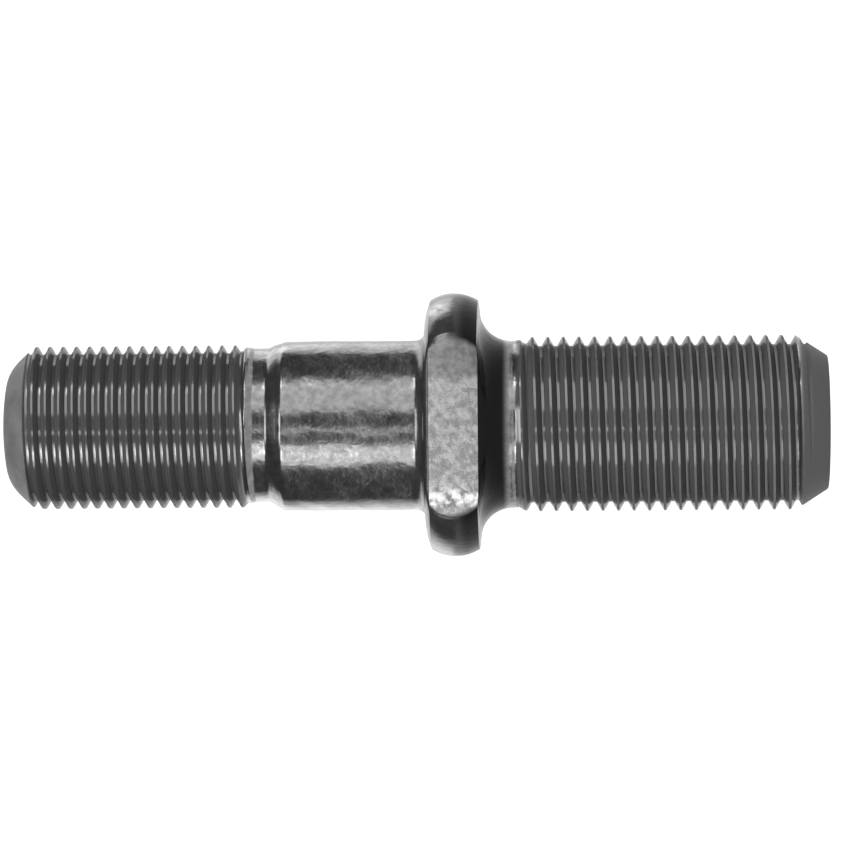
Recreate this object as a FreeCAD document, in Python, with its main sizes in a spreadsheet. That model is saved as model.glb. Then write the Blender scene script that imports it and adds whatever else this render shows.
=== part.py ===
import FreeCAD, Part
import math
import os
import Sketcher

# Double ended stud: one forged bar with a smaller thread on its left end, a larger one on its
# right end, a plain shank between them and an upset collar, crowned, with one clipped flat.
# It is drawn along X from the tip of its left end, then stood on the flat face of its right end,
# because it would roll if it lay down. The clipped flat then faces the front.
# Each thread is a plain cylinder over its crests, with its true start and run-out.

# Every size that can be set by itself, in millimetres, degrees or as a ratio
SIZES = [
    ("leftThreadLength", 33.3, "left tip to the thread's last crest"),
    ("waistLength", 5.1, "last crest to the shank's corner"),
    ("shankLength", 19.3, "shank's corner to the collar's seat face"),
    ("bevelDepth", 0.75, "seat face to the left rim"),
    ("bevelBow", 12.0, "swell of the bevel between them"),
    ("rimWidth", 6.5, "left rim to right rim"),
    ("blankLength", 0.23, "plain bar between the back fillet and the right thread"),
    ("rightThreadLength", 42.2, "right thread's first crest to the end face"),
    ("leftMajor", 22.225, "over the left crests, seven eighths of an inch"),
    ("rightMajor", 23.8125, "over the right crests, fifteen sixteenths of an inch"),
    ("rightPitch", 2.1167, "twelve turns to the inch"),
    ("blankDropRatio", 0.2344, "crests down to the bar as rolled, for each unit of pitch"),
    ("pointRadius", 26.0, "oval point on the left tip"),
    ("leadDrop", 2.56, "left crests down to the point's rim"),
    ("leadAngle", 43.0, "start of the left thread, from the axis"),
    ("runoutAngle", 45.0, "inner end of each thread, from the axis"),
    ("waistDrop", 0.81, "left crests down to the waist"),
    ("shankRise", 0.45, "left crests up to the shank, which fills the hole they pass"),
    ("shoulderAngle", 32.0, "climb from the waist to the shank, from the axis"),
    ("shoulderRounding", 1.0, "both corners of that climb"),
    ("seatWidth", 2.75, "flat ring on the seat face, outside the shank"),
    ("seatFillet", 1.4, "root between the shank and the seat face"),
    ("collarHeight", 6.44, "shank up to the top of the crown"),
    ("crownRise", 0.94, "rims up to the top of the crown"),
    ("flatHeight", 1.54, "shank up to the clipped flat"),
    ("backAngle", 7.0, "collar's right face, from square"),
    ("backBow", 30.0, "swell of the right face"),
    ("backFillet", 4.3, "root between the right face and the bar"),
    ("backFilletReach", 0.95, "most of the right face that the back fillet may take"),
    ("chamferLength", 4.13, "long chamfer on the right end"),
    ("chamferDepth", 2.67, "right crests down to the end of that chamfer"),
    ("edgeBreak", 0.2, "edge of the right end face"),
    ("cutMargin", 1.0, "how far a cutting outline stands clear of the collar"),
]

# What follows from the sizes: radii from the axis, then places from the left tip
PLACES = [
    ("leftCrest", "Sizes.leftMajor / 2"),
    ("pointRim", "leftCrest - Sizes.leadDrop"),
    ("waist", "leftCrest - Sizes.waistDrop"),
    ("shank", "leftCrest + Sizes.shankRise"),
    ("seatEdge", "shank + Sizes.seatWidth"),
    ("crownTop", "shank + Sizes.collarHeight"),
    ("rim", "crownTop - Sizes.crownRise"),
    ("crownRadius", "((Sizes.rimWidth / 2) ^ 2 + Sizes.crownRise ^ 2) / (2 * Sizes.crownRise)"),
    ("flat", "shank + Sizes.flatHeight"),
    ("rightCrest", "Sizes.rightMajor / 2"),
    ("rightBlank", "rightCrest - Sizes.blankDropRatio * Sizes.rightPitch"),
    ("chamferLow", "rightCrest - Sizes.chamferDepth"),
    ("endFace", "chamferLow - Sizes.edgeBreak"),
    ("pointRimAlong", "Sizes.pointRadius - sqrt(Sizes.pointRadius ^ 2 - pointRim ^ 2)"),
    ("leadEndAlong", "pointRimAlong + Sizes.leadDrop / tan(Sizes.leadAngle)"),
    ("waistStartAlong", "Sizes.leftThreadLength + Sizes.waistDrop / tan(Sizes.runoutAngle)"),
    ("shankStartAlong", "Sizes.leftThreadLength + Sizes.waistLength"),
    ("waistEndAlong", "shankStartAlong - (shank - waist) / tan(Sizes.shoulderAngle)"),
    ("seatAlong", "shankStartAlong + Sizes.shankLength"),
    ("leftRimAlong", "seatAlong + Sizes.bevelDepth"),
    ("crownAlong", "leftRimAlong + Sizes.rimWidth / 2"),
    ("rightRimAlong", "leftRimAlong + Sizes.rimWidth"),
    ("backFootAlong", "rightRimAlong + (rim - rightBlank) * tan(Sizes.backAngle)"),
    ("backTangentRatio", "tan((90 - Sizes.backAngle) / 2)"),
    ("backTangentMost", "Sizes.backFilletReach * (rim - rightBlank) / cos(Sizes.backAngle)"),
    ("backRadius", "min(Sizes.backFillet; backTangentMost / backTangentRatio)"),
    ("backTangentLength", "backRadius * backTangentRatio"),
    ("backTangentAlong", "backFootAlong - backTangentLength * sin(Sizes.backAngle)"),
    ("backTangent", "rightBlank + backTangentLength * cos(Sizes.backAngle)"),
    ("blankStartAlong", "backFootAlong + backTangentLength"),
    ("blankEndAlong", "blankStartAlong + Sizes.blankLength"),
    ("rightStartAlong", "blankEndAlong + (rightCrest - rightBlank) / tan(Sizes.runoutAngle)"),
    ("endAlong", "rightStartAlong + Sizes.rightThreadLength"),
    ("edgeAlong", "endAlong - Sizes.edgeBreak"),
    ("chamferAlong", "edgeAlong - Sizes.chamferLength"),
    ("cutReach", "crownTop + Sizes.cutMargin"),
    ("cutStartAlong", "seatAlong - Sizes.seatFillet"),
    ("cutLength", "blankStartAlong - cutStartAlong"),
]

# Each corner of the outline: its name, its place along the axis and its radius, then the radius
# of the arc that leads on from it, if the next stretch is curved
CORNERS = [
    ("tip", None, None, "Sizes.pointRadius"),
    ("pointRim", "Places.pointRimAlong", "Places.pointRim", None),
    ("leadEnd", "Places.leadEndAlong", "Places.leftCrest", None),
    ("leftThreadEnd", "Sizes.leftThreadLength", "Places.leftCrest", None),
    ("waistStart", "Places.waistStartAlong", "Places.waist", None),
    ("waistEnd", "Places.waistEndAlong", "Places.waist", None),
    ("shankStart", "Places.shankStartAlong", "Places.shank", None),
    ("seatRoot", "Places.seatAlong", "Places.shank", None),
    ("seatEdge", "Places.seatAlong", "Places.seatEdge", "Sizes.bevelBow"),
    ("leftRim", "Places.leftRimAlong", "Places.rim", "Places.crownRadius"),
    ("rightRim", "Places.rightRimAlong", "Places.rim", "Sizes.backBow"),
    ("backTangent", "Places.backTangentAlong", "Places.backTangent", "Places.backRadius"),
    ("blankStart", "Places.blankStartAlong", "Places.rightBlank", None),
    ("blankEnd", "Places.blankEndAlong", "Places.rightBlank", None),
    ("rightStart", "Places.rightStartAlong", "Places.rightCrest", None),
    ("chamferStart", "Places.chamferAlong", "Places.rightCrest", None),
    ("chamferEnd", "Places.edgeAlong", "Places.chamferLow", None),
    ("endEdge", "Places.endAlong", "Places.endFace", None),
    ("endCentre", "Places.endAlong", None, None),
]

# Corners whose arc is hollow, and corners between straight stretches that are rounded
HOLLOW = ["backTangent"]
ROUNDINGS = {
    "waistEnd": "Sizes.shoulderRounding",
    "shankStart": "Sizes.shoulderRounding",
    "seatRoot": "Sizes.seatFillet",
}

# Ends of a stretch, and the sketch's own centre and axes, as its constraints number them
START, END = 1, 2
CENTRE = (-1, 1)
LEVEL_AXIS, UPRIGHT_AXIS = -1, -2


def makeSheet(doc, name, rows):
    sheet = doc.addObject("Spreadsheet::Sheet", name)
    for row, (alias, content, *note) in enumerate(rows, start=1):
        sheet.set(f"A{row}", alias)
        sheet.set(f"B{row}", content)
        sheet.setAlias(f"B{row}", alias)
        sheet.set(f"C{row}", "".join(note))
    doc.recompute()
    return sheet


def originFeature(body, role):
    return next(item for item in body.Origin.OriginFeatures if item.Role == role)


def newSketch(body, name, role):
    sketch = body.newObject("Sketcher::SketchObject", name)
    sketch.AttachmentSupport = [(originFeature(body, role), "")]
    sketch.MapMode = "FlatFace"
    return sketch


def valueOf(body, expression):
    return float(body.evalExpression(expression)) if expression else 0.0


def bind(sketch, name, constraint, expression):
    index = sketch.addConstraint(constraint)
    sketch.renameConstraint(index, name)
    sketch.setExpression(f"Constraints.{name}", expression)


def arcBetween(start, end, radius, hollow):
    """Arc drawn anticlockwise, so one that bulges away from the axis runs from its end to its start."""
    chord = end - start
    outward = FreeCAD.Vector(-chord.y, chord.x, 0).normalize() * (-1 if hollow else 1)
    centre = (start + end) * 0.5 - outward * math.sqrt(radius ** 2 - (chord.Length / 2) ** 2)
    middle = centre + outward * radius
    return Part.Arc(start, middle, end) if hollow else Part.Arc(end, middle, start)


def holdCorner(sketch, name, end, point, along, radius):
    """Hold one end of a stretch at its place along the axis and its radius, or on the axis."""
    if along:
        bind(sketch, f"{name}Along", Sketcher.Constraint("DistanceX", *CENTRE, *end, point.x), along)
    else:
        sketch.addConstraint(Sketcher.Constraint("PointOnObject", *end, UPRIGHT_AXIS))
    if radius:
        bind(sketch, f"{name}Radius", Sketcher.Constraint("DistanceY", *CENTRE, *end, point.y), radius)
    else:
        sketch.addConstraint(Sketcher.Constraint("PointOnObject", *end, LEVEL_AXIS))


def roundCorner(sketch, name, before, after, size, expression):
    """Round the corner where two straight stretches meet, and keep the corner itself as a point."""
    lines = [sketch.Geometry[before], sketch.Geometry[after]]
    middles = [(line.StartPoint + line.EndPoint) * 0.5 for line in lines]
    arc = len(sketch.Geometry)
    sketch.fillet(before, after, *middles, size, True, True)
    bind(sketch, f"{name}Rounding", Sketcher.Constraint("Radius", arc, size), expression)


def drawOutline(body):
    """Half outline of the stud, closed along its axis."""
    sketch = newSketch(body, "Outline", "XZ_Plane")
    value = [(valueOf(body, along), valueOf(body, radius)) for _, along, radius, _ in CORNERS]
    points = [FreeCAD.Vector(along, radius, 0) for along, radius in value]
    bulging = [bool(bend) and name not in HOLLOW for name, _, _, bend in CORNERS]
    starts = [END if bulges else START for bulges in bulging]
    ends = [START if bulges else END for bulges in bulging]
    for index, (name, _, _, bend) in enumerate(CORNERS):
        start, end = points[index], points[(index + 1) % len(points)]
        if bend:
            edge = arcBetween(start, end, valueOf(body, bend), name in HOLLOW)
        else:
            edge = Part.LineSegment(start, end)
        sketch.addGeometry(edge, False)
    for index, (name, along, radius, bend) in enumerate(CORNERS):
        before = (index - 1) % len(CORNERS)
        own = (index, starts[index])
        sketch.addConstraint(Sketcher.Constraint("Coincident", before, ends[before], *own))
        holdCorner(sketch, name, own, points[index], along, radius)
        if bend:
            bind(sketch, f"{name}Bend", Sketcher.Constraint("Radius", index, valueOf(body, bend)), bend)
    for index, (name, _, _, _) in enumerate(CORNERS):
        if name in ROUNDINGS:
            rounding = ROUNDINGS[name]
            roundCorner(sketch, name, index - 1, index, valueOf(body, rounding), rounding)
    return sketch


def turnOutline(doc, body, sketch):
    """Turn the outline about the stud's own axis."""
    turned = body.newObject("PartDesign::Revolution", "Turned")
    turned.Profile = sketch
    turned.ReferenceAxis = (originFeature(body, "X_Axis"), [""])
    turned.Angle = 360
    doc.recompute()
    return turned


def clipFlat(doc, body, base):
    """Cut the collar's one flat, square to Z, through both of the collar's root fillets."""
    sketch = newSketch(body, "FlatOutline", "YZ_Plane")
    sketch.setExpression("AttachmentOffset.Base.z", "Places.cutStartAlong")
    low, reach = valueOf(body, "Places.flat"), valueOf(body, "Places.cutReach")
    corners = [(-reach, low), (reach, low), (reach, reach), (-reach, reach)]
    points = [FreeCAD.Vector(across, up, 0) for across, up in corners]
    for index, direction in enumerate(["Horizontal", "Vertical", "Horizontal", "Vertical"]):
        sketch.addGeometry(Part.LineSegment(points[index], points[(index + 1) % 4]), False)
        sketch.addConstraint(Sketcher.Constraint(direction, index))
    for index in range(4):
        sketch.addConstraint(Sketcher.Constraint("Coincident", index, END, (index + 1) % 4, START))
    bottomLeft, bottomRight, topRight = (0, START), (0, END), (1, END)
    bind(sketch, "low", Sketcher.Constraint("DistanceY", *CENTRE, *bottomLeft, low), "Places.flat")
    bind(sketch, "high", Sketcher.Constraint("DistanceY", *CENTRE, *topRight, reach), "Places.cutReach")
    bind(sketch, "left", Sketcher.Constraint("DistanceX", *bottomLeft, *CENTRE, reach), "Places.cutReach")
    bind(sketch, "right", Sketcher.Constraint("DistanceX", *CENTRE, *bottomRight, reach), "Places.cutReach")
    pocket = body.newObject("PartDesign::Pocket", "ClippedFlat")
    pocket.Profile = sketch
    pocket.Type = "Length"
    pocket.Reversed = True
    pocket.setExpression("Length", "Places.cutLength")
    doc.recompute()
    if pocket.Shape.Volume >= base.Shape.Volume:
        raise RuntimeError("the clipped flat removed nothing")
    body.Tip = pocket


def standUp(doc, body):
    """Stand the stud on its right end face, its axis over the origin and its clipped flat in front."""
    along, across, flatSide = FreeCAD.Vector(0, 0, -1), FreeCAD.Vector(1, 0, 0), FreeCAD.Vector(0, -1, 0)
    body.Placement.Rotation = FreeCAD.Rotation(along, across, flatSide, "XYZ")
    body.setExpression("Placement.Base.z", "Places.endAlong")
    doc.recompute()


def checkModel(doc, body):
    for item in doc.Objects:
        if "Invalid" in item.State or "Error" in item.State:
            raise RuntimeError(f"{item.Label} failed: {item.State}")
    if body.Shape.isNull() or not body.Shape.isValid() or len(body.Shape.Solids) != 1:
        raise RuntimeError(f"{body.Label} isn't one valid solid")


def main():
    doc = FreeCAD.newDocument("DoubleEndedStud")
    makeSheet(doc, "Sizes", [(alias, str(size), note) for alias, size, note in SIZES])
    makeSheet(doc, "Places", [(alias, f"={formula}") for alias, formula in PLACES])
    body = doc.addObject("PartDesign::Body", "Stud")
    body.Label = "stud"
    turned = turnOutline(doc, body, drawOutline(body))
    clipFlat(doc, body, turned)
    standUp(doc, body)
    checkModel(doc, body)

    os.makedirs("parts", exist_ok=True)
    body.Shape.exportStep(f"parts/{body.Label}.step")
    box = body.Shape.optimalBoundingBox(False, False)
    print(f"{body.Label}: {body.Shape.Volume:.0f} mm3, {valueOf(body, 'Places.endAlong'):.2f} mm long")
    print(f"box {box.XLength:.2f} x {box.YLength:.2f} x {box.ZLength:.2f} mm, floor at {box.ZMin:.4f}")


main()
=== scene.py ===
# Double ended stud: its threads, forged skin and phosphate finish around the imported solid.
# It stands on its right end face. The photograph has it lying level, so the camera is turned on its side.
import math
import bmesh
import bpy
import numpy as np
from mathutils import Matrix, Vector


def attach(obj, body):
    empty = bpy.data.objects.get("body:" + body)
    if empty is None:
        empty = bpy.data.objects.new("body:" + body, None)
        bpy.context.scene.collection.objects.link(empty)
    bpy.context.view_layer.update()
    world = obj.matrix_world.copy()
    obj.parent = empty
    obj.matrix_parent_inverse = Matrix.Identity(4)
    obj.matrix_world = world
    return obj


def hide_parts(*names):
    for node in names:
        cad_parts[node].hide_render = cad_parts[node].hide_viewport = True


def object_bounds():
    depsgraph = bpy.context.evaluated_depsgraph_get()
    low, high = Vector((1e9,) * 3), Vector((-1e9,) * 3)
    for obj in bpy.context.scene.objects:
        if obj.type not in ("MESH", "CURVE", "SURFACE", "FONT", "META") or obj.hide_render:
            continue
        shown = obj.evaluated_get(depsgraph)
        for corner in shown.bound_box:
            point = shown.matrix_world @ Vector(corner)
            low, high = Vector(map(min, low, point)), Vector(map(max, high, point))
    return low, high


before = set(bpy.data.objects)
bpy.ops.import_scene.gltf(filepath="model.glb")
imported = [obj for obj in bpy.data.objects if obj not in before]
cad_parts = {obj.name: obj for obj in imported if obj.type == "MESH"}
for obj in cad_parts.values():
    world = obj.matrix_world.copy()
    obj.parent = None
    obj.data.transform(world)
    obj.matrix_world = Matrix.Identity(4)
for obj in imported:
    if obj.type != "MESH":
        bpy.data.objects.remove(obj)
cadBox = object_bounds()
mm = 0.001                                    # the stud's lengths below are in millimetres
endAlong = cadBox[1].z / mm                   # left tip to the end face that it stands on
print("frame loaded, stud", round(endAlong, 3), "mm long")

# Places along the stud count from its left tip, angles from the photograph's top towards the camera
columns = 128                                 # divisions round the stud
frontAngle = math.pi / 2                      # where the clipped flat looks
nearlyZero = 1e-6


# Curves

def straight(start, end, count):
    # evenly spaced points from start to end
    share = np.linspace(0, 1, count)[:, None]
    return np.array(start) + share * (np.array(end) - np.array(start))


def bow(start, end, radius, count, hollow=False):
    # arc of that radius from start to end, which bulges left of its way, or right where hollow.
    # Its centre is square to the chord's middle, off it by the root of the radius squared less the
    # half chord squared, and the angle about it runs evenly from end to end
    start, end = np.array(start, float), np.array(end, float)
    chord = end - start
    outward = np.array([-chord[1], chord[0]]) / np.hypot(*chord) * (-1 if hollow else 1)
    centre = (start + end) / 2 - outward * math.sqrt(radius ** 2 - np.dot(chord, chord) / 4)
    first, last = (math.atan2(*(corner - centre)[::-1]) for corner in (start, end))
    turn = (last - first + math.pi) % (2 * math.pi) - math.pi
    angle = first + turn * np.linspace(0, 1, count)
    return centre + radius * np.column_stack([np.cos(angle), np.sin(angle)])


def smoothStep(value, low, high):
    # 0 below low, 1 above high, and between them 3 t squared less 2 t cubed
    share = np.clip((value - low) / (high - low), 0, 1)
    return share * share * (3 - 2 * share)


def between(value, rise, fall):
    # 0, then up to 1 from the rise's low limit to its high one, and back to 0 over the fall's
    return smoothStep(value, *rise) * (1 - smoothStep(value, *fall))


def softMin(first, second, width):
    # the lesser of the two, with their crossing rounded off over that width
    near = np.clip(1 - np.abs(first - second) / width, 0, None)
    return np.minimum(first, second) - near * near * width / 4


# The outline: places along the stud, radii about its axis, and angles in degrees, as the solid's are

outline = {
    "pointRadius": 26.0,                      # of the solid's domed point
    "pointRim": 8.5525,                       # the dome's rim, where the lead's cone begins
    "leadAngle": 43.0,
    "waist": 10.3025,
    "shoulderAngle": 32.0,
    "shoulderRounding": 1.0,
    "shank": 11.5625,
    "shankStart": 38.4,
    "seat": 57.7,                             # place of the seat's face
    "seatFillet": 1.4,
    "seatEdge": 14.3125,                      # where the seat's face meets the bevel
    "bevelBow": 12.0,
    "leftRim": 58.45,                         # places of the crown's two edges,
    "rightRim": 64.95,
    "rim": 17.0625,                           # and their radius
    "crownTop": 18.0025,
    "backBow": 30.0,
    "backAngle": 7.0,                         # of the back face, off square
    "backFillet": 4.3,
    "blank": 11.4101,
    "chamferLength": 4.13,
    "chamferDepth": 2.67,
    "edgeBreak": 0.2,
}
collar = {
    "flat": 13.1025,                          # the clipped flat's distance from the axis
    "leftEdge": 58.6,                         # where the shear rolled the flat's long edges over,
    "rightEdge": 64.6,                        # which on the right runs on into the back fillet,
    "leftRoll": 0.9,                          # and the radius of the rolled edge on the left
    "endRoll": 0.5,                           # width over which the flat's two ends are rounded
    "facing": 0.2,                            # least cosine off the front at which the flat can cut
    "flatColumns": 45.0,                      # half angle of the flat's own columns, away from it
    "leastEdge": 25.0,                        # half angle of the flat below which they let go,
    "release": 1.6,                           # and the run of outline over which they open out again
}


def placesOf(sizes):
    # corners that follow from the sizes: tangent lengths are radius times the tangent of half the turn
    pointRimAlong = sizes["pointRadius"] - math.sqrt(sizes["pointRadius"] ** 2 - sizes["pointRim"] ** 2)
    slope = math.radians(sizes["shoulderAngle"])
    shoulder = sizes["shoulderRounding"] * math.tan(slope / 2)
    sideways, upward = shoulder * math.cos(slope), shoulder * math.sin(slope)
    waistEnd = sizes["shankStart"] - (sizes["shank"] - sizes["waist"]) / math.tan(slope)
    back = math.radians(sizes["backAngle"])
    foot = sizes["rightRim"] + (sizes["rim"] - sizes["blank"]) * math.tan(back)
    tangent = sizes["backFillet"] * math.tan(math.radians(90 - sizes["backAngle"]) / 2)
    halfWidth, swell = (sizes["rightRim"] - sizes["leftRim"]) / 2, sizes["crownTop"] - sizes["rim"]
    # the roll's circle starts level at rightEdge and touches the back fillet's circle
    across = foot + tangent - collar["rightEdge"]
    above = sizes["blank"] + sizes["backFillet"] - collar["flat"]
    roll = (across ** 2 + above ** 2 - sizes["backFillet"] ** 2) / (2 * (sizes["backFillet"] - above))
    return {
        "pointRim": pointRimAlong,
        "waistEnd": (waistEnd - shoulder, sizes["waist"]),
        "riseStart": (waistEnd + sideways, sizes["waist"] + upward),
        "riseEnd": (sizes["shankStart"] - sideways, sizes["shank"] - upward),
        "shankStart": (sizes["shankStart"] + shoulder, sizes["shank"]),
        "crownRadius": (halfWidth ** 2 + swell ** 2) / (2 * swell),
        "backTangent": (foot - tangent * math.sin(back), sizes["blank"] + tangent * math.cos(back)),
        "blankStart": (foot + tangent, sizes["blank"]),
        "cutStart": sizes["seat"] - sizes["seatFillet"],
        "rightRoll": roll,
        "cutEnd": collar["rightEdge"] + across * roll / (roll + sizes["backFillet"]),
        "chamferStart": endAlong - sizes["edgeBreak"] - sizes["chamferLength"],
    }


places = placesOf(outline)


# Forged skin

skin = {
    "height": 0.022,                          # of the waves
    "seed": 7,
    "waves": 14,
    "shortest": 3.5,                          # wave length
    "longest": 16.0,
    "phases": 6.28,                           # the waves' phases are spread over about a full turn
    "around": 11.5,                           # radius at which the waves round the stud are counted
    "sinks": (16.0, 17.5),                    # radii over which the skin sinks below the outline
    "fadesIn": (35.4, 38.5),                  # places that keep it off the threads
    "fadesOut": (67.0, 69.3),
}


def forgedSkin(along, angle, radius):
    # sum of plane waves over the unrolled surface, each with its own length, heading and phase;
    # the heading across is a whole number of waves round the stud, so that the seam closes.
    # The sum is cut off at its height, and on the collar's crown all of it lies below the outline
    rng = np.random.default_rng(skin["seed"])
    total = np.zeros(np.broadcast(along, angle).shape)
    for _ in range(skin["waves"]):
        length = rng.uniform(skin["shortest"], skin["longest"])
        heading = rng.uniform(0, math.pi)
        phase = rng.uniform(0, skin["phases"])
        around = round(2 * math.pi * skin["around"] * math.sin(heading) / length)
        total += np.sin(2 * math.pi * along * math.cos(heading) / length + around * angle + phase)
    waves = skin["height"] * total / math.sqrt(skin["waves"] / 2)
    return np.minimum(waves, skin["height"]) - 2 * skin["height"] * smoothStep(radius, *skin["sinks"])


# Plain sections: rings of the outline, warped round the front so that a column runs along the flat's edge

neck = {
    "rise": 0.35,                             # at the photograph's top
    "from": (33.2, 34.2),
    "to": (36.9, 38.2),
}


def neckLift(along, angle):
    # the neck runs a little out of true: half its rise times 1 + cos(angle), fading at both ends
    return neck["rise"] / 2 * (1 + np.cos(angle)) * between(along, neck["from"], neck["to"])


def flatHeight(along):
    # the flat's distance from the axis: level between its long edges, then circles down
    left = np.clip(collar["leftEdge"] - along, 0, collar["leftRoll"])
    right = np.clip(along - collar["rightEdge"], 0, places["cutEnd"] - collar["rightEdge"])
    drop = collar["leftRoll"] - np.sqrt(collar["leftRoll"] ** 2 - left ** 2)
    return collar["flat"] - drop - places["rightRoll"] + np.sqrt(places["rightRoll"] ** 2 - right ** 2)


def columnAngles(rings):
    # half angle of the flat at each ring, arccos(flat / radius), opened to flatColumns away from the
    # collar; the columns inside and outside that angle are spread evenly on their own sides of it
    radius = np.maximum(rings[:, 1], nearlyZero)
    run = np.concatenate([[0], np.cumsum(np.hypot(*np.diff(rings, axis=0).T))])
    edge = np.degrees(np.arccos(np.clip(flatHeight(rings[:, 0]) / radius, -1, 1)))
    limit, front = collar["flatColumns"], math.degrees(frontAngle)
    half = np.full(len(radius), limit)
    follows = edge >= collar["leastEdge"]
    if follows.any():
        apart = np.abs(run[:, None] - run[follows][None, :])
        nearest = edge[follows][apart.argmin(axis=1)]
        half = nearest + (limit - nearest) * np.clip(apart.min(axis=1) / collar["release"], 0, 1)
    half = half[:, None]
    offset = (np.degrees(np.linspace(0, 2 * math.pi, columns + 1)) - front + 180) % 360 - 180
    offset[-1] = offset[0]
    size = np.abs(offset)[None, :]
    inside = size * half / limit
    outside = half + (size - limit) * (180 - half) / (180 - limit)
    return np.radians(front + np.sign(offset) * np.where(size <= limit, inside, outside))


def plainSection(rings, skinShare):
    # each ring's radius all round, plus its share of the forged skin and the neck's lift, or the
    # flat's plane where that is lower: its distance divided by the cosine off the front
    angle = columnAngles(rings)
    along, radius = (np.repeat(column[:, None], columns + 1, axis=1) for column in rings.T)
    radius = radius + forgedSkin(along, angle, radius) * skinShare[:, None] + neckLift(along, angle)
    facing = np.cos(angle - frontAngle)
    inCut = (along > places["cutStart"]) & (along < places["cutEnd"]) & (facing > collar["facing"])
    plane = flatHeight(along) / np.where(inCut, facing, 1)
    width = collar["endRoll"] * (1 - smoothStep(along, collar["rightEdge"], places["cutEnd"])) + nearlyZero
    return along, angle, np.where(inCut, softMin(radius, plane, width), radius)


# Threads

leftThread = {
    "pitch": 1.8143,
    "major": 22.225,
    "crestAt": 4.515,                         # a crest's place at the photograph's top
    "start": 2.6,                             # on the lead, just before its first groove
    "end": 35.2,
    "crests": (32.4, 34.6),                   # places over which they sink into the waist,
    "grooves": (31.6, 34.9),                  # and over which the grooves run out
}
rightThread = {
    "pitch": 2.1167,
    "major": 23.8125,
    "crestAt": 72.27,
    "start": 69.45,
    "end": 110.2,                             # on the chamfer, just past its last groove
    "crests": (69.7, 71.9),                   # places over which they rise from the blank,
    "grooves": (69.5, 72.4),                  # and over which the grooves grow to their depth
}
threadForm = {
    "depth": 0.58,                            # for each unit of pitch
    "flankAngle": 30.0,                       # off square to the axis, in degrees
    "flankStart": 0.075,                      # half the crest's width
    "rootCorner": 0.02,                       # depth over which the flank turns into the root
    "spareTurns": 2,                          # worked out past each end, then left off
    # places of the rows across one turn, in pitches from the crest's middle
    "rows": [-0.5, -0.41, -0.34, -0.25, -0.16, -0.075, 0.0, 0.075, 0.16, 0.25, 0.34, 0.41],
}


def fromCrest(phase):
    # distance from the nearest crest's middle, in pitches
    return np.abs((phase + 0.5) % 1 - 0.5)


def grooveDepth(phase):
    # depth below the crest for each unit of pitch: a flat crest, straight flanks at their angle,
    # and a flat root whose corners are rounded off
    away = np.clip(fromCrest(phase) - threadForm["flankStart"], 0, None)
    flank = away / math.tan(math.radians(threadForm["flankAngle"]))
    return softMin(flank, threadForm["depth"], threadForm["rootCorner"])


def threadSection(thread, envelope, grooveShare):
    # rows follow the helix: place = crest + pitch * (turn + row) + pitch * angle / full turn,
    # held between the section's two rings; the radius is the envelope less what is left of the groove
    firstTurn = math.floor((thread["start"] - thread["crestAt"]) / thread["pitch"]) - threadForm["spareTurns"]
    lastTurn = math.ceil((thread["end"] - thread["crestAt"]) / thread["pitch"]) + threadForm["spareTurns"]
    rows = (np.arange(firstTurn, lastTurn)[:, None] + np.array(threadForm["rows"])[None, :]).ravel()
    angle = np.broadcast_to(np.linspace(0, 2 * math.pi, columns + 1), (len(rows), columns + 1))
    along = thread["crestAt"] + thread["pitch"] * (rows[:, None] + angle / (2 * math.pi))
    along = np.clip(along, thread["start"], thread["end"])
    clear = (along.min(axis=1) - thread["start"]) * (thread["end"] - along.max(axis=1))
    within = np.ptp(along, axis=1) + clear > nearlyZero
    keep = within | np.roll(within, 1) | np.roll(within, -1)      # and the row that lies on each end ring
    along, angle = along[keep], angle[keep]
    phase = (along - thread["crestAt"]) / thread["pitch"] - angle / (2 * math.pi)
    limit = envelope(along)
    belowCrest = thread["major"] / 2 - limit
    groove = np.clip(grooveDepth(phase) * thread["pitch"] - belowCrest, 0, None)
    return along, angle, limit - groove * grooveShare(along) + neckLift(along, angle)


def leftEnvelope(along):
    # the lead's cone up to the crests, then the run-out down to the waist
    crest = leftThread["major"] / 2
    lead = outline["pointRim"] + (along - places["pointRim"]) * math.tan(math.radians(outline["leadAngle"]))
    return np.minimum(lead, crest + (outline["waist"] - crest) * smoothStep(along, *leftThread["crests"]))


def leftGrooves(along):
    # 1 where the grooves are whole, 0 where they have run out
    return 1 - smoothStep(along, *leftThread["grooves"])


def rightEnvelope(along):
    # the run-out up from the blank to the crests, then the end's long chamfer
    crest = rightThread["major"] / 2
    slope = outline["chamferDepth"] / outline["chamferLength"]
    chamfer = crest - (along - places["chamferStart"]) * slope
    runout = outline["blank"] + (crest - outline["blank"]) * smoothStep(along, *rightThread["crests"])
    return np.minimum(runout, chamfer)


def rightGrooves(along):
    # 0 before the grooves begin, 1 where they are whole
    return smoothStep(along, *rightThread["grooves"])


# Rings of the plain sections, as places along the stud and radii

ovalPoint = {
    "flatness": 36.0,                         # radius of the dome's middle
    "rounding": 1.25,                         # run along the stud over which it turns into the lead
}
ringCounts = {                                # points in each stretch of the outline
    "point": 32,
    "waist": 4,
    "rounding": 5,                            # each of the shoulder's two
    "rise": 4,
    "shank": 44,
    "seatFillet": 9,
    "seatFace": 5,
    "bevel": 9,
    "crown": 30,
    "back": 12,
    "backFillet": 34,
    "blank": 2,
    "chamfer": 10,
    "edgeBreak": 3,
    "endFace": 10,
}


def chain(*parts):
    # joins stretches end to end and drops the point that each shares with the one before
    return np.vstack([parts[0]] + [part[1:] for part in parts[1:]])


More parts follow.
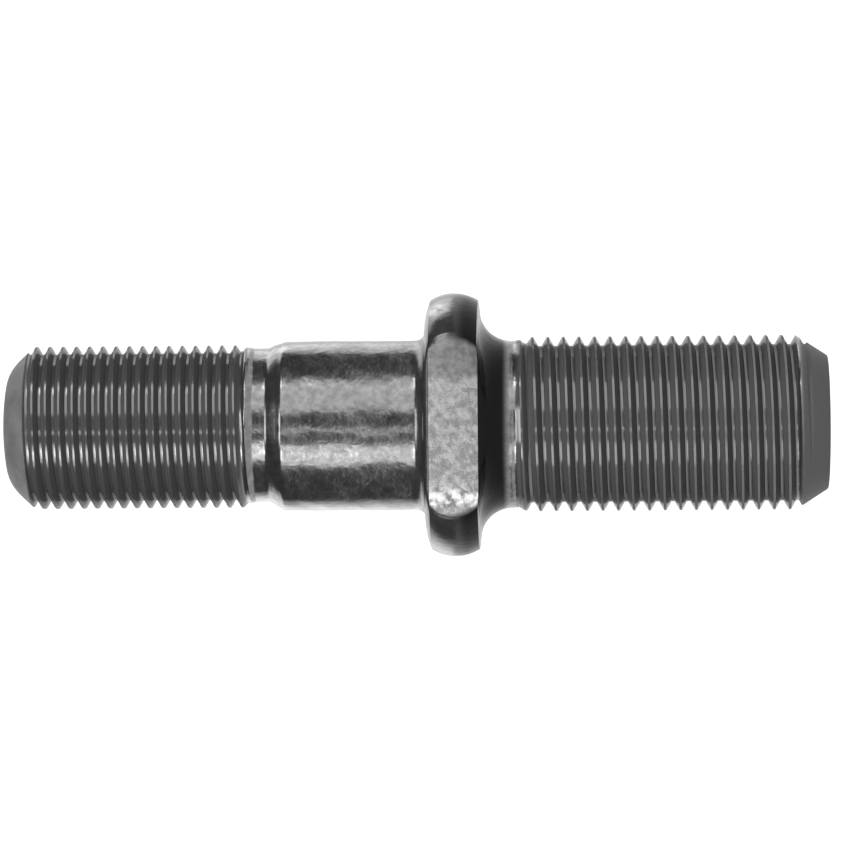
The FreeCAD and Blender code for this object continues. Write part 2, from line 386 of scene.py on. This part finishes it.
def pointRings():
    # the oval point: the later of a flat dome and the lead's cone, with their corner rounded off,
    # as far as the first groove
    rim = float(leftEnvelope(np.array(leftThread["start"])))
    radius = np.linspace(0, rim, ringCounts["point"])
    dome = ovalPoint["flatness"] - np.sqrt(ovalPoint["flatness"] ** 2 - radius ** 2)
    lead = places["pointRim"] + (radius - outline["pointRim"]) / math.tan(math.radians(outline["leadAngle"]))
    return np.column_stack([-softMin(-dome, -lead, ovalPoint["rounding"]), radius])


def middleRings():
    # waist, shoulder, shank, seat, bevel, crown, back face and blank, in straight stretches and arcs
    sizes, count = outline, ringCounts
    rounding, seatFillet, backFillet = sizes["shoulderRounding"], sizes["seatFillet"], sizes["backFillet"]
    filletStart = (sizes["seat"] - seatFillet, sizes["shank"])
    filletEnd = (sizes["seat"], sizes["shank"] + seatFillet)
    seatEdge = (sizes["seat"], sizes["seatEdge"])
    leftRim, rightRim = (sizes["leftRim"], sizes["rim"]), (sizes["rightRim"], sizes["rim"])
    return chain(
        straight((leftThread["end"], sizes["waist"]), places["waistEnd"], count["waist"]),
        bow(places["waistEnd"], places["riseStart"], rounding, count["rounding"], hollow=True),
        straight(places["riseStart"], places["riseEnd"], count["rise"]),
        bow(places["riseEnd"], places["shankStart"], rounding, count["rounding"]),
        straight(places["shankStart"], filletStart, count["shank"]),
        bow(filletStart, filletEnd, seatFillet, count["seatFillet"], hollow=True),
        straight(filletEnd, seatEdge, count["seatFace"]),
        bow(seatEdge, leftRim, sizes["bevelBow"], count["bevel"]),
        bow(leftRim, rightRim, places["crownRadius"], count["crown"]),
        bow(rightRim, places["backTangent"], sizes["backBow"], count["back"]),
        bow(places["backTangent"], places["blankStart"], backFillet, count["backFillet"], hollow=True),
        straight(places["blankStart"], (rightThread["start"], sizes["blank"]), count["blank"]),
    )


def endRings():
    # what the thread leaves of the chamfer, the broken edge, and the end face down to the axis
    low = rightThread["major"] / 2 - outline["chamferDepth"]
    first = (rightThread["end"], float(rightEnvelope(np.array(rightThread["end"]))))
    edge = (endAlong - outline["edgeBreak"], low)
    face = (endAlong, low - outline["edgeBreak"])
    return chain(
        straight(first, edge, ringCounts["chamfer"]),
        straight(edge, face, ringCounts["edgeBreak"]),
        straight(face, (endAlong, 0.0), ringCounts["endFace"]),
    )


# The stud's mesh

surface = {
    "weld": 3e-7,                             # metres within which two points are one
    "sharpFrom": 35.0,                        # degrees between two faces that show as an edge
}


def placed(along, angle, radius):
    # along the stud runs down the row's Z, the photograph's top is the row's +X, the camera's side -Y
    return np.stack([radius * np.cos(angle), -radius * np.sin(angle), endAlong - along], axis=-1) * mm


def gridFaces(rows, first):
    # quads between each row and the next, and each column and the next
    index = first + np.arange(rows * (columns + 1)).reshape(rows, columns + 1)
    return np.stack([index[:-1, :-1], index[:-1, 1:], index[1:, 1:], index[1:, :-1]], axis=-1).reshape(-1, 4)


def buildStud():
    # five grids end to end, welded along the seam, at the two poles and where their end rings meet
    first, middle, end = pointRings(), middleRings(), endRings()
    sections = [
        plainSection(first, np.zeros(len(first))),
        threadSection(leftThread, leftEnvelope, leftGrooves),
        plainSection(middle, between(middle[:, 0], skin["fadesIn"], skin["fadesOut"])),
        threadSection(rightThread, rightEnvelope, rightGrooves),
        plainSection(end, np.zeros(len(end))),
    ]
    points, faces, count = [], [], 0
    for along, angle, radius in sections:
        points.append(placed(along, angle, radius).reshape(-1, 3))
        faces.append(gridFaces(len(along), count))
        count += along.size
    mesh = bpy.data.meshes.new("stud_surface")
    mesh.from_pydata(np.vstack(points), [], np.vstack(faces).tolist())
    work = bmesh.new()
    work.from_mesh(mesh)
    bmesh.ops.remove_doubles(work, verts=work.verts, dist=surface["weld"])
    bmesh.ops.dissolve_degenerate(work, dist=surface["weld"], edges=work.edges)
    bmesh.ops.recalc_face_normals(work, faces=work.faces)
    work.to_mesh(mesh)
    loose = sum(1 for edge in work.edges if len(edge.link_faces) != 2)
    triangles = sum(len(face.verts) - 2 for face in work.faces)
    work.free()
    print("stud mesh:", triangles, "triangles,", loose, "open edges")
    mesh.polygons.foreach_set("use_smooth", np.ones(len(mesh.polygons), bool))
    mesh.set_sharp_from_angle(angle=math.radians(surface["sharpFrom"]))
    stud = bpy.data.objects.new("dressed_stud", mesh)
    bpy.context.scene.collection.objects.link(stud)
    return stud


# Zones of the finish: each comes in, or goes out, between two limits

paint = {
    "flankTop": (0.07, 0.10),                 # in pitches from the crest's middle
    "flankFoot": (0.36, 0.41),
    "leftIn": (3.2, 4.2),                     # the threads, along the stud
    "leftOut": (32.5, 33.6),
    "rightIn": (69.9, 70.5),
    "rightOut": (107.5, 108.5),
    "pointOut": (3.3, 4.3),                   # the cut ends
    "chamferIn": (108.2, 108.8),
    "scaleIn": (55.9, 57.5),                  # forging scale on the collar,
    "shadeIn": (59.6, 63.6),                   # and painted shade that darkens it towards the right
    "scaleOut": (68.2, 69.4),
    "collarHighlight": (59.7, 27.0, 3.0),          # painted highlights: the middle's place and angle, then the reach
    "shankHighlight": (38.8, 25.0, 1.3),
    "spotCore": 0.2,                          # share of the reach over which a spot is whole
    "pastLeft": 0.25,                         # how far the flat's metal shows past its long edges,
    "pastRight": 0.45,
    "below": 0.06,                            # and how far below or above its plane
    "above": 0.003,
    "dullIn": (5.9, 7.4),                     # up from the flat's middle, where it shows less of the metal
    "dullShare": 0.35,
    "tornIn": (7.6, 9.2),                     # down from the flat's middle
    "tornOut": (10.3, 11.0),
}


def flankShare(phase):
    # 1 on the straight flanks, 0 on the crest and the root, by the distance in pitches from the crest
    return between(fromCrest(phase), paint["flankTop"], paint["flankFoot"])


def highlightSpot(along, radius, turn, spot):
    # 1 in the middle of a painted highlight, 0 beyond its reach, by the distance over the unrolled surface
    middle, angle, reach = spot
    away = np.hypot(along - middle, radius * (2 * math.pi * turn - math.radians(angle)))
    return 1 - smoothStep(away, paint["spotCore"] * reach, reach)


def paintZones(stud):
    # attributes worked out from each point's own place: the threads and their flanks, the cut ends,
    # the collar's scale with its painted shade, the painted highlights, and the clipped flat with its torn
    # end
    mesh = stud.data
    place = np.empty(len(mesh.vertices) * 3, np.float32)
    mesh.vertices.foreach_get("co", place)
    x, y, z = place.reshape(-1, 3).T.astype(float) / mm
    along, radius, turn = endAlong - z, np.hypot(x, y), np.arctan2(-y, x) / (2 * math.pi)
    inLeft = between(along, paint["leftIn"], paint["leftOut"])
    inRight = between(along, paint["rightIn"], paint["rightOut"])
    leftFlank, rightFlank = (flankShare((along - thread["crestAt"]) / thread["pitch"] - turn)
                             for thread in (leftThread, rightThread))
    chamfer = smoothStep(along, *paint["chamferIn"])
    # the two painted highlights, on the collar and at the shank's corner
    highlights = [highlightSpot(along, radius, turn, paint[name]) for name in ("collarHighlight", "shankHighlight")]
    pastLeft, pastRight = collar["leftEdge"] - paint["pastLeft"], collar["rightEdge"] + paint["pastRight"]
    onPlane = (-y > collar["flat"] - paint["below"]) & (-y < collar["flat"] + paint["above"])
    flat = (along > pastLeft) & (along < pastRight) & onPlane
    zones = {
        "flank": inLeft * leftFlank + inRight * rightFlank,
        "thread": inLeft + inRight,
        "ends": 1 - smoothStep(along, *paint["pointOut"]) + chamfer,
        "scale": between(along, paint["scaleIn"], paint["scaleOut"]),
        # painted shade on the collar's right side and back fillet, deepening towards the right thread
        "paintedShade": between(along, paint["shadeIn"], paint["scaleOut"]),
        "chamfer": chamfer,
        # painted highlights
        "paintedHighlight": np.maximum(*highlights),
        "sheared": flat * (1 - paint["dullShare"] * smoothStep(x, *paint["dullIn"])),
        "torn": flat * between(-x, paint["tornIn"], paint["tornOut"]),
    }
    for name, value in zones.items():
        mesh.attributes.new(name, "FLOAT", "POINT").data.foreach_set("value", value.astype(np.float32))


# Finish

finish = {
    "dark": (0.130, 0.130, 0.132, 1),         # neck and shank
    "light": (0.200, 0.200, 0.202, 1),
    "scaleDark": (0.070, 0.070, 0.071, 1),    # forging scale on the collar and its fillets
    "scaleLight": (0.105, 0.105, 0.106, 1),
    "paintedShade": (0.007, 0.007, 0.007, 1),         # painted shade: the scale made near black on its side towards the right thread
    "paintedHighlight": (0.30, 0.30, 0.30, 1),            # painted highlights on the collar and the shank's corner
    "groove": (0.100, 0.100, 0.102, 1),       # oil and phosphate left on the threads' flanks
    "rolled": (0.150, 0.150, 0.150, 1),       # burnished crests and roots
    "point": (0.220, 0.220, 0.220, 1),
    "pointDark": (0.160, 0.160, 0.160, 1),
    "chamfer": (0.100, 0.100, 0.101, 1),
    "sheared": (0.33, 0.33, 0.33, 1),         # the flat
    "shearedDark": (0.19, 0.19, 0.19, 1),
    "torn": (0.80, 0.80, 0.80, 1),            # fresh metal torn at the flat's lower end
    "edge": (0.15, 0.15, 0.15, 1),            # the threads' metal seen at a low angle
    "metal": 0.95,                            # metallic on the neck and the shank,
    "dulled": 0.65,                           # on crests, roots, the flat and the scale,
    "filmed": 0.05,                           # on the flanks' film,
    "shaded": 0.0,                            # on the painted shade,
    "cut": 0.20,                              # and on the cut ends
    "gloss": 0.5,                             # specular level, and the same on the painted shade, flanks and cut ends
    "shadeGloss": 0.06,
    "flankGloss": 0.03,
    "cutGloss": 0.25,
    "smooth": 0.15,                           # roughness of the threads, and the least elsewhere,
    "rough": 0.24,                            # the most on the forged parts,
    "dull": 0.60,                             # and on the cut ends
    "mottle": (420.0, 6.0, 0.60),             # noises: scale for each metre, detail and roughness
    "peel": (1100.0, 4.0, 0.55),
    "grain": (2600.0, 3.0, 0.60),
    "chips": (900.0, 5.0, 0.65),
    "bodySpread": (0.35, 0.65),               # stretch of its noise over which each colour pair changes
    "scaleSpread": (0.42, 0.66),
    "highlightSpread": (0.38, 0.56),
    "pointSpread": (0.35, 0.65),
    "tornSpread": (0.40, 0.60),
    "roughSpread": (0.30, 0.70),
    "levelPeel": 0.5,                         # the threads are rolled smooth, so their peel is level
    "peelBump": (0.5, 0.00008),               # bumps: strength, then height in metres
    "grainBump": (0.2, 0.00004),
    "tearBump": (0.9, 0.00035),
}
mixSockets = {"RGBA": (0, 6, 7, 2), "FLOAT": (0, 2, 3, 0)}      # a Mix node's factor, A, B and result


def plug(tree, socket, value):
    # links the socket to another, or gives it a value of its own
    if isinstance(value, bpy.types.NodeSocket):
        tree.links.new(value, socket)
    else:
        socket.default_value = value


def addNode(tree, kind, inputs=None, **settings):
    node = tree.nodes.new(kind)
    for name, value in settings.items():
        setattr(node, name, value)
    for name, value in (inputs or {}).items():
        plug(tree, node.inputs[name], value)
    return node


def combine(tree, operation, first, second):
    node = addNode(tree, "ShaderNodeMath", operation=operation)
    plug(tree, node.inputs[0], first)
    plug(tree, node.inputs[1], second)
    return node.outputs["Value"]


def mix(tree, kind, factor, first, second):
    # first where the factor is 0, second where it is 1
    node = addNode(tree, "ShaderNodeMix", data_type=kind)
    *inputs, result = mixSockets[kind]
    for number, value in zip(inputs, (factor, first, second)):
        plug(tree, node.inputs[number], value)
    return node.outputs[result]


def steelFinish():
    # colour, metal, gloss and roughness go from zone to zone by the painted attributes, and noise on
    # the object's own coordinates mottles them and gives the bumps
    material = bpy.data.materials.new("phosphated_steel")
    material.use_nodes = True
    tree = material.node_tree
    shader = tree.nodes["Principled BSDF"]
    place = addNode(tree, "ShaderNodeTexCoord").outputs["Object"]
    zone = {name: addNode(tree, "ShaderNodeAttribute", attribute_name=name).outputs["Fac"]
            for name in ("flank", "thread", "ends", "chamfer", "scale", "paintedShade", "paintedHighlight", "sheared", "torn")}

    def noise(name):
        scale, detail, roughness = finish[name]
        settings = {"Vector": place, "Scale": scale, "Detail": detail, "Roughness": roughness}
        return addNode(tree, "ShaderNodeTexNoise", settings).outputs["Fac"]

    def spread(value, name, toLow=0.0, toHigh=1.0):
        low, high = finish[name]
        settings = {"Value": value, "From Min": low, "From Max": high, "To Min": toLow, "To Max": toHigh}
        return addNode(tree, "ShaderNodeMapRange", settings).outputs["Result"]

    def mixColour(factor, first, second):
        return mix(tree, "RGBA", factor, first, second)

    def mixNumber(factor, first, second):
        return mix(tree, "FLOAT", factor, first, second)

    def bump(name, height, **under):
        strength, distance = finish[name]
        settings = {"Height": height, "Strength": strength, "Distance": distance, **under}
        return addNode(tree, "ShaderNodeBump", settings).outputs["Normal"]

    mottle, peel, grain, chips = (noise(name) for name in ("mottle", "peel", "grain", "chips"))

    body = mixColour(spread(peel, "bodySpread"), finish["dark"], finish["light"])
    scale = mixColour(spread(mottle, "scaleSpread"), finish["scaleDark"], finish["scaleLight"])
    # painted shade turns the scale near black towards the right thread
    scale = mixColour(zone["paintedShade"], scale, finish["paintedShade"])
    forged = mixColour(zone["scale"], body, scale)
    # painted highlights, broken up by the chips noise, lighten the collar and the shank's corner
    highlighted = combine(tree, "MULTIPLY", spread(chips, "highlightSpread"), zone["paintedHighlight"])
    forged = mixColour(highlighted, forged, finish["paintedHighlight"])
    rolled = mixColour(zone["flank"], finish["rolled"], finish["groove"])
    steel = mixColour(zone["thread"], forged, rolled)
    pointed = mixColour(spread(mottle, "pointSpread"), finish["pointDark"], finish["point"])
    cut = mixColour(zone["ends"], steel, mixColour(zone["chamfer"], pointed, finish["chamfer"]))
    bright = mixColour(zone["torn"], finish["sheared"], finish["torn"])
    sheared = mixColour(spread(chips, "tornSpread"), finish["shearedDark"], bright)
    plug(tree, shader.inputs["Base Color"], mixColour(zone["sheared"], cut, sheared))

    rough = spread(mottle, "roughSpread", finish["smooth"], finish["rough"])
    rough = mixNumber(zone["thread"], rough, finish["smooth"])
    plug(tree, shader.inputs["Roughness"], mixNumber(zone["ends"], rough, finish["dull"]))

    metal = mixNumber(zone["scale"], finish["metal"], finish["dulled"])
    # the painted shade also takes away the metal
    metal = mixNumber(zone["paintedShade"], metal, finish["shaded"])
    metal = mixNumber(zone["thread"], metal, mixNumber(zone["flank"], finish["dulled"], finish["filmed"]))
    metal = mixNumber(zone["ends"], metal, finish["cut"])
    plug(tree, shader.inputs["Metallic"], mixNumber(zone["sheared"], metal, finish["dulled"]))

    # the painted shade also takes away almost all of the gloss
    gloss = mixNumber(zone["paintedShade"], finish["gloss"], finish["shadeGloss"])
    gloss = mixNumber(zone["flank"], gloss, finish["flankGloss"])
    gloss = mixNumber(zone["ends"], gloss, finish["cutGloss"])
    plug(tree, shader.inputs["Specular IOR Level"], gloss)
    plug(tree, shader.inputs["Specular Tint"], mixColour(zone["thread"], (1, 1, 1, 1), finish["edge"]))

    peelBump = bump("peelBump", mixNumber(zone["thread"], peel, finish["levelPeel"]))
    grainBump = bump("grainBump", grain, Normal=peelBump)
    tear = combine(tree, "MULTIPLY", chips, zone["sheared"])
    plug(tree, shader.inputs["Normal"], bump("tearBump", tear, Normal=grainBump))
    return material


stud = buildStud()
paintZones(stud)
stud.data.materials.append(steelFinish())
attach(stud, "root")
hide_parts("stud")
print("stud dressed")


# Studio, in metres and degrees

studio = {
    "floorSize": 6.0,
    "floorColour": (0.65, 0.65, 0.65, 1),
    "floorGlow": 0.92,                        # where it is seen; 1 is white
    "world": 0.12,
    "backdropGlow": 1.0,
    "backdropFar": 2.4,                       # from the stud
    "backdropHeight": 2.6,
    "backdropFrom": 118.0,                    # from the camera's side towards the photograph's top
    "backdropTo": 236.0,
    "backdropPosts": 25,                      # its corners, with a flat panel from each to the next
}
# soft boxes: direction from the camera's side towards the photograph's top, elevation, distance,
# width, height, and how bright the box's face is, where 1 is a white wall that glows at full strength
softBoxes = {
    "upperStrip": (42.5, 4.0, 1.2, 0.96, 0.90, 2.1),
    "upperSpot": (61.0, 16.0, 1.2, 0.22, 0.26, 8.0),
    "lowerStrip": (-39.5, 4.0, 1.2, 0.64, 0.80, 3.0),
    "lowerSpot": (-38.0, 16.0, 1.2, 0.30, 0.30, 8.0),
    "lineStrip": (-6.5, 4.0, 1.3, 0.05, 0.60, 6.5),
    "upperRim": (133.0, 27.0, 1.3, 0.80, 1.20, 1.5),
    "lowerRim": (-147.0, 27.0, 1.3, 0.62, 1.20, 1.0),
    "overhead": (0.0, 38.0, 1.3, 1.0, 0.5, 4.6),
}


def isSeen(tree):
    # 1 for rays from the camera, and for those that metal or glass sends on
    rays = addNode(tree, "ShaderNodeLightPath").outputs
    seen = combine(tree, "MAXIMUM", rays["Is Camera Ray"], rays["Is Glossy Ray"])
    return combine(tree, "MAXIMUM", seen, rays["Is Transmission Ray"])


def paperFinish(name, glow):
    # pale paper that is lit as any paper is, and glows a little where it is seen, so that it reads white
    material = bpy.data.materials.new(name)
    material.use_nodes = True
    tree = material.node_tree
    paper = tree.nodes["Principled BSDF"]
    paper.inputs["Base Color"].default_value = studio["floorColour"]
    paper.inputs["Roughness"].default_value = 1.0
    paper.inputs["Specular IOR Level"].default_value = 0.0
    glowing = addNode(tree, "ShaderNodeEmission", {"Strength": combine(tree, "MULTIPLY", isSeen(tree), glow)})
    both = addNode(tree, "ShaderNodeAddShader")
    plug(tree, both.inputs[0], paper.outputs[0])
    plug(tree, both.inputs[1], glowing.outputs[0])
    plug(tree, tree.nodes["Material Output"].inputs["Surface"], both.outputs[0])
    return material


def direction(turn, lift):
    # turn from the camera's side (-Y) towards the photograph's top (+X), lift above the floor
    turn, lift = math.radians(turn), math.radians(lift)
    return Vector((math.sin(turn) * math.cos(lift), -math.cos(turn) * math.cos(lift), math.sin(lift)))


def buildRoom():
    # a square floor, and a backdrop of flat panels that stand in an arc behind the stud
    half, posts = studio["floorSize"] / 2, studio["backdropPosts"]
    corners = [(-half, -half, 0), (half, -half, 0), (half, half, 0), (-half, half, 0)]
    floor = bpy.data.meshes.new("floor")
    floor.from_pydata(corners, [], [(0, 1, 2, 3)])
    turns = np.linspace(studio["backdropFrom"], studio["backdropTo"], posts)
    low = [direction(turn, 0) * studio["backdropFar"] for turn in turns]
    high = [foot + Vector((0, 0, studio["backdropHeight"])) for foot in low]
    panels = [(post, post + 1, post + posts + 1, post + posts) for post in range(posts - 1)]
    wall = bpy.data.meshes.new("backdrop")
    wall.from_pydata(low + high, [], panels)
    for mesh, glow in ((floor, studio["floorGlow"]), (wall, studio["backdropGlow"])):
        thing = bpy.data.objects.new(mesh.name, mesh)
        mesh.materials.append(paperFinish(mesh.name + "_paper", glow))
        bpy.context.scene.collection.objects.link(thing)


def buildLights():
    # each box looks at the stud's middle; its power is its brightness times its area times pi
    middle = Vector((0, 0, endAlong * mm / 2))
    for name, (turn, lift, far, width, height, glow) in softBoxes.items():
        lamp = bpy.data.lights.new(name, "AREA")
        lamp.shape = "RECTANGLE"
        lamp.size, lamp.size_y = width, height
        lamp.energy = glow * width * height * math.pi
        box = bpy.data.objects.new(name, lamp)
        box.location = middle + direction(turn, lift) * far
        box.rotation_mode = "QUATERNION"
        box.rotation_quaternion = direction(turn, lift).to_track_quat("Z", "Y")
        box.visible_camera = False
        bpy.context.scene.collection.objects.link(box)
    world = bpy.data.worlds.new("room")
    world.use_nodes = True
    world.node_tree.nodes["Background"].inputs["Color"].default_value = (1, 1, 1, 1)
    world.node_tree.nodes["Background"].inputs["Strength"].default_value = studio["world"]
    bpy.context.scene.world = world


# Camera

view = {
    "aim": 57.55,                             # place on the stud's axis at the photograph's middle column
    "distance": 640.0,
    "tilt": 2.0,                              # degrees that the right end comes towards the camera
    "turn": 1.1,                              # degrees that the camera stands towards the photograph's top
    "roll": 0.45,                             # degrees that the right end stands higher
    "pixelsPerMm": 7.323,                     # at the aim
    "picture": 850,
    "sensor": 36.0,
    "nearest": 0.05,                          # metres
    "farthest": 20.0,
}


def buildCamera():
    # the picture's right is the stud's way down, made square to the view and then rolled
    lens = bpy.data.cameras.new("camera")
    lens.sensor_width = view["sensor"]
    lens.lens = view["pixelsPerMm"] * view["distance"] * view["sensor"] / view["picture"]
    lens.clip_start, lens.clip_end = view["nearest"], view["farthest"]
    back = direction(view["turn"], -view["tilt"])
    alongStud = Vector((0, 0, -1))
    level = (alongStud - back * alongStud.dot(back)).normalized()
    upward = back.cross(level)
    roll = math.radians(view["roll"])
    right = level * math.cos(roll) - upward * math.sin(roll)
    up = level * math.sin(roll) + upward * math.cos(roll)
    aim = Vector((0, 0, (endAlong - view["aim"]) * mm))
    camera = bpy.data.objects.new("camera", lens)
    turned = Matrix((right, up, back)).transposed()
    camera.matrix_world = Matrix.Translation(aim + back * view["distance"] * mm) @ turned.to_4x4()
    bpy.context.scene.collection.objects.link(camera)
    bpy.context.scene.camera = camera
    print("camera", round(camera.location.z / mm, 2), "mm above the floor, lens", round(lens.lens, 1))


buildRoom()
buildLights()
buildCamera()
bpy.context.scene.view_settings.view_transform = "Standard"
print("studio lit")
